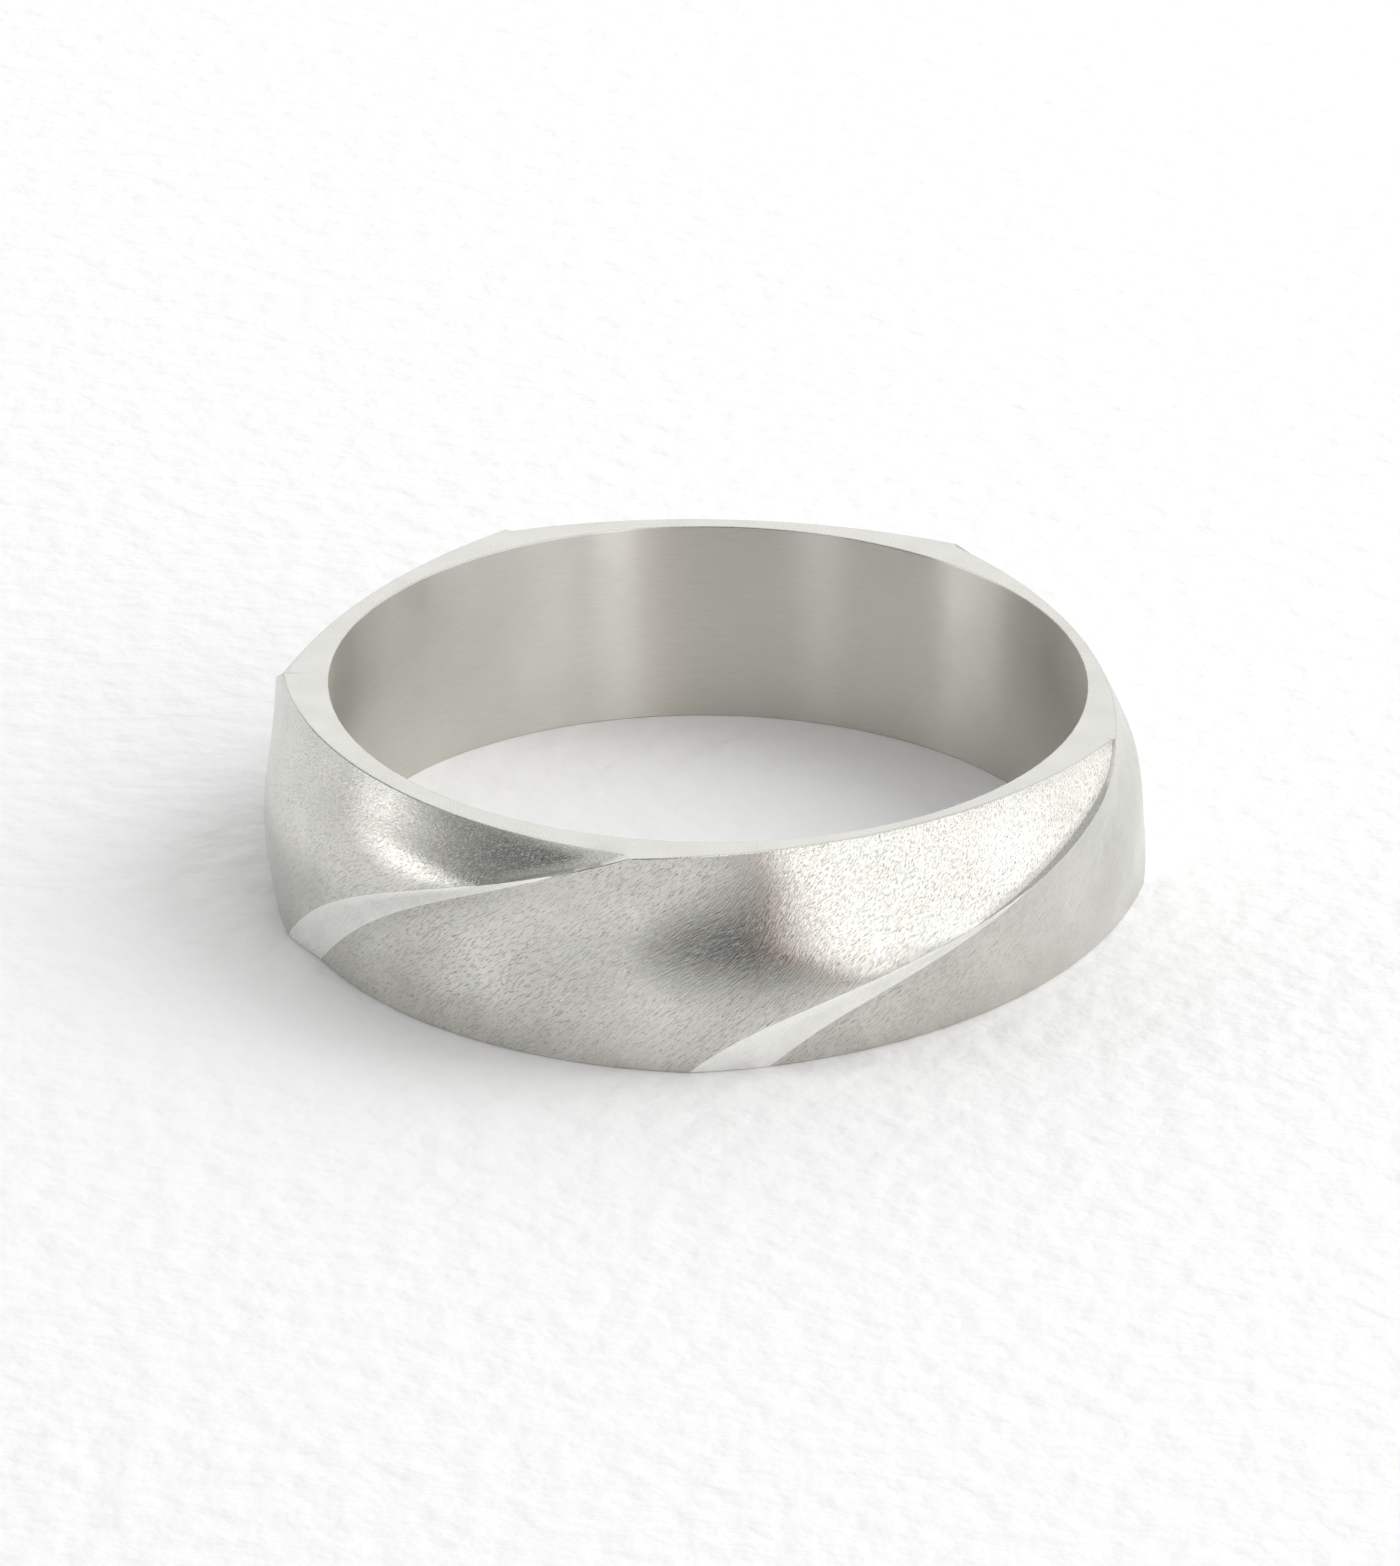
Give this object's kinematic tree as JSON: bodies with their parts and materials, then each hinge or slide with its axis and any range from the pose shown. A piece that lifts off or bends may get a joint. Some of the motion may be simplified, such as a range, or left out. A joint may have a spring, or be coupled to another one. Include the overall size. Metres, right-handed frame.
{
  "type": "wedding band",
  "caption": "Matt white-metal wedding band with twisting diagonal facets carved around the outside and a plain round bore.",
  "frame": {"origin": "on the bore's axis, half way up the band", "axes": "+Z along the bore's axis towards the top edge face; +X and +Y are across the finger hole"},
  "size_m": [0.0217, 0.0216, 0.0052],
  "materials": {
    "satin_white_metal": "matt brushed white gold or silver"
  },
  "bodies": {
    "root": {"band": "satin_white_metal"}
  },
  "joints": []
}
